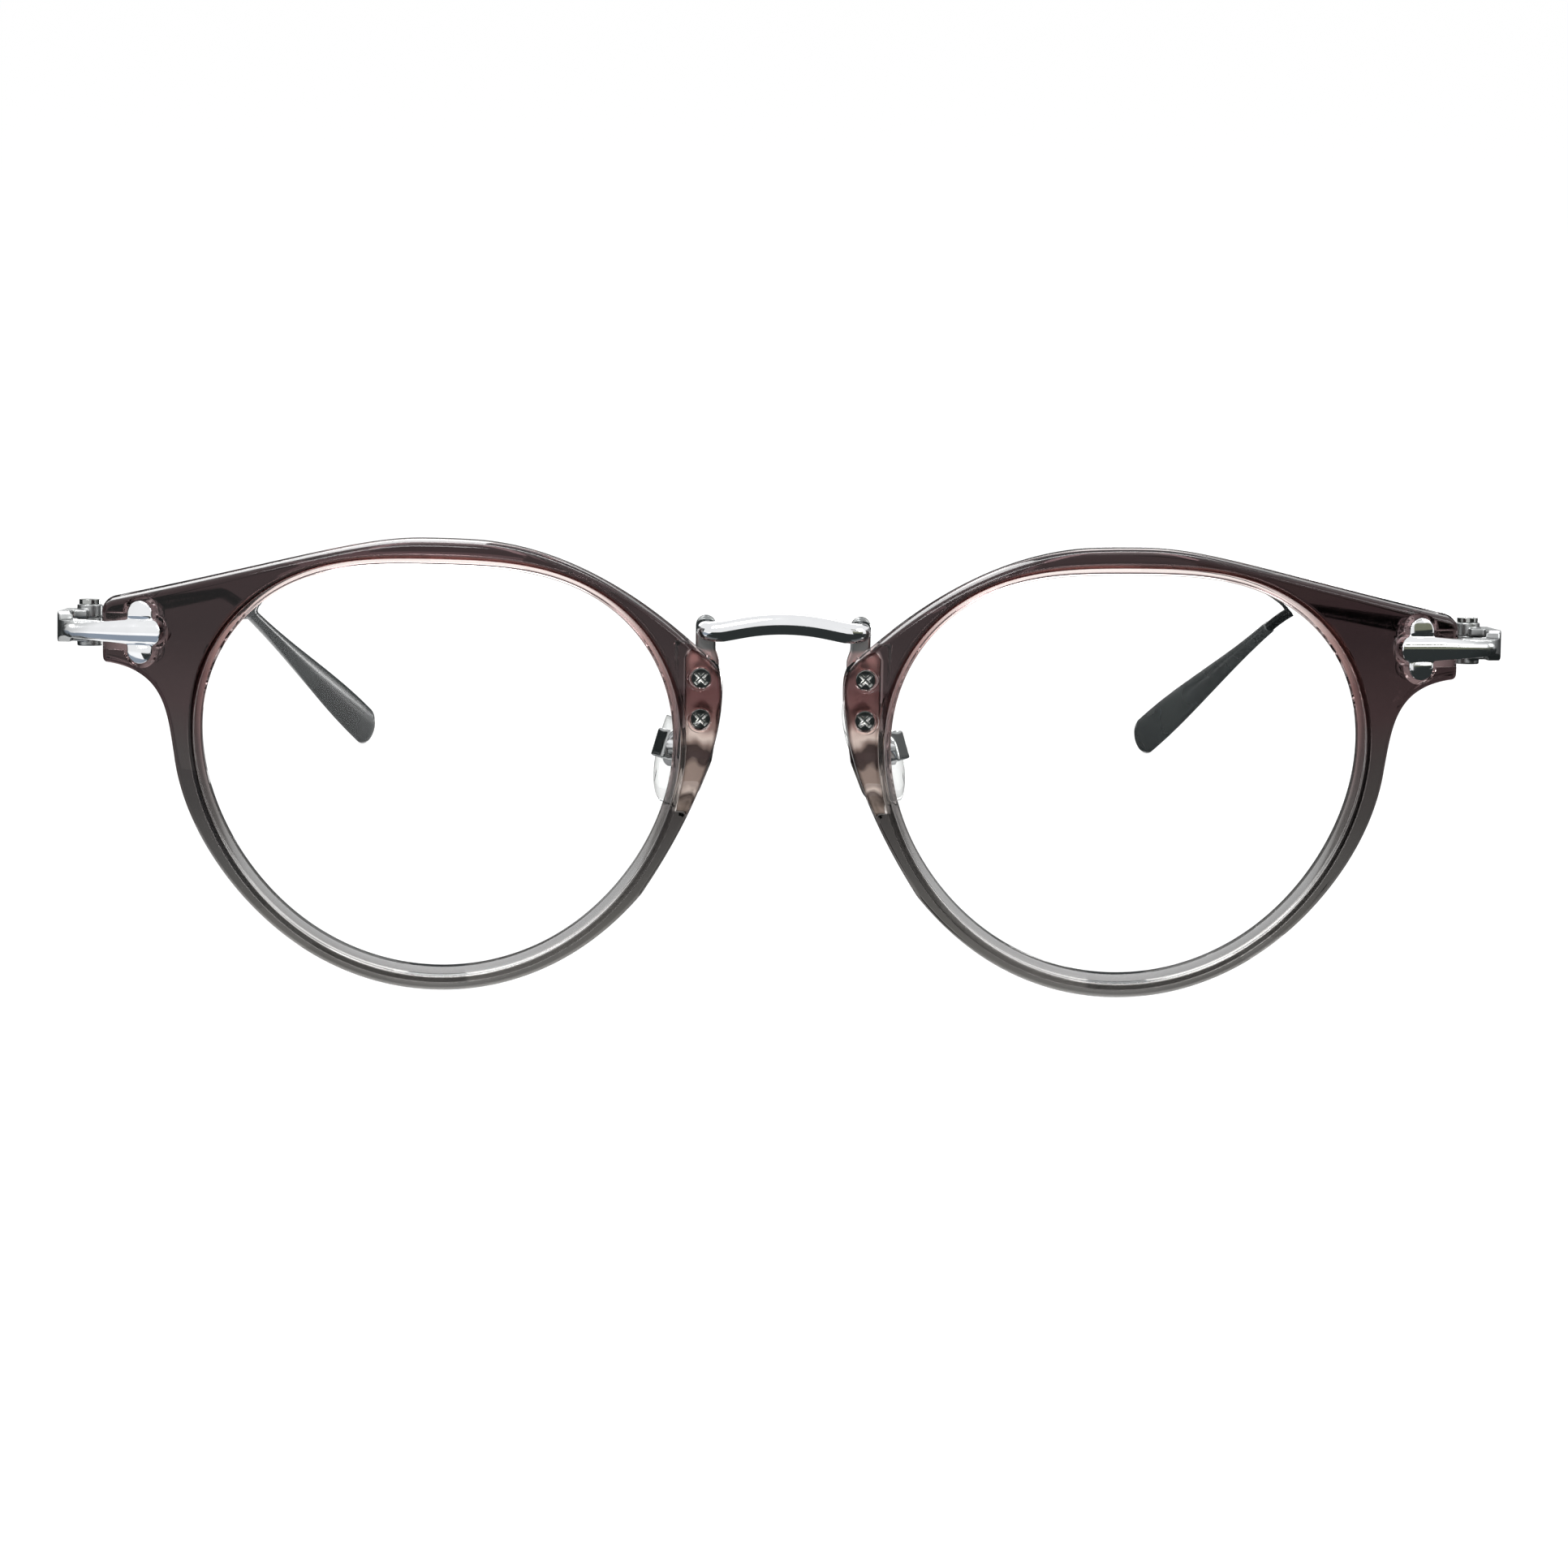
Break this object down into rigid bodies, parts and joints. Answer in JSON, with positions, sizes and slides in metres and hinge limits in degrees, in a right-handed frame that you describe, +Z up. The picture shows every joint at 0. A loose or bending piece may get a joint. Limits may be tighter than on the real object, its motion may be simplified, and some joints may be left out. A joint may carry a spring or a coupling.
{
  "type": "round eyeglasses",
  "caption": "Round eyeglasses: two acetate rims with clear lenses, a metal bridge, rocking nose pads, clover endpieces and folding temples.",
  "frame": {"origin": "on the table, in the middle of the open glasses' footprint", "axes": "+X to the wearer's left, -Y out of the front of the lenses, +Y along the temples, +Z up"},
  "size_m": [0.1452, 0.14, 0.0455],
  "materials": {
    "acetate": "polished see-through acetate, plum at the top, fading to clear grey at the bottom",
    "lens": "clear, uncoloured",
    "silver_metal": "polished silver",
    "screw_metal": "bright steel",
    "temple_metal": "dark polished metal",
    "tip": "satin charcoal",
    "clear_pad": "clear soft pad"
  },
  "bodies": {
    "front": {"bridge_bar": "silver_metal", "rim_left": "acetate", "rim_right": "acetate", "lens_left": "lens", "lens_right": "lens", "bridge_plate_left": "silver_metal", "bridge_plate_right": "silver_metal", "bridge_screws_left": "screw_metal", "bridge_screws_right": "screw_metal", "pad_arm_left": "silver_metal", "pad_arm_right": "silver_metal", "pad_box_left": "silver_metal", "pad_box_right": "silver_metal", "pad_screw_left": "screw_metal", "pad_screw_right": "screw_metal", "endpiece_left": "silver_metal", "endpiece_right": "silver_metal", "backplate_left": "silver_metal", "backplate_right": "silver_metal", "endpiece_screws_left": "screw_metal", "endpiece_screws_right": "screw_metal", "hinge_screw_left": "screw_metal", "hinge_screw_right": "screw_metal"},
    "left_temple": {"temple_hinge_left": "silver_metal", "temple_left": "temple_metal", "temple_tip_left": "tip"},
    "right_temple": {"temple_hinge_right": "silver_metal", "temple_right": "temple_metal", "temple_tip_right": "tip"},
    "left_pad": {"nose_pad_left": "clear_pad", "pad_insert_left": "silver_metal"},
    "right_pad": {"nose_pad_right": "clear_pad", "pad_insert_right": "silver_metal"}
  },
  "joints": [
    {"name": "left_temple_fold", "type": "hinge", "parent": "front", "child": "left_temple", "pos_m": [0.0699, -0.05584, 0.03484], "axis": [0, 0.1132, 0.9936], "range_deg": [0, 82]},
    {"name": "right_temple_fold", "type": "hinge", "parent": "front", "child": "right_temple", "pos_m": [-0.0699, -0.05584, 0.03484], "axis": [0, 0.1132, 0.9936], "range_deg": [-77, 0]},
    {"name": "left_pad_rock", "type": "hinge", "parent": "front", "child": "left_pad", "pos_m": [0.01135, -0.0608, 0.02425], "axis": [0.6691, 0.7431, 0], "range_deg": [-10, 10]},
    {"name": "right_pad_rock", "type": "hinge", "parent": "front", "child": "right_pad", "pos_m": [-0.01135, -0.0608, 0.02425], "axis": [0.6691, -0.7431, 0], "range_deg": [-10, 10]}
  ]
}
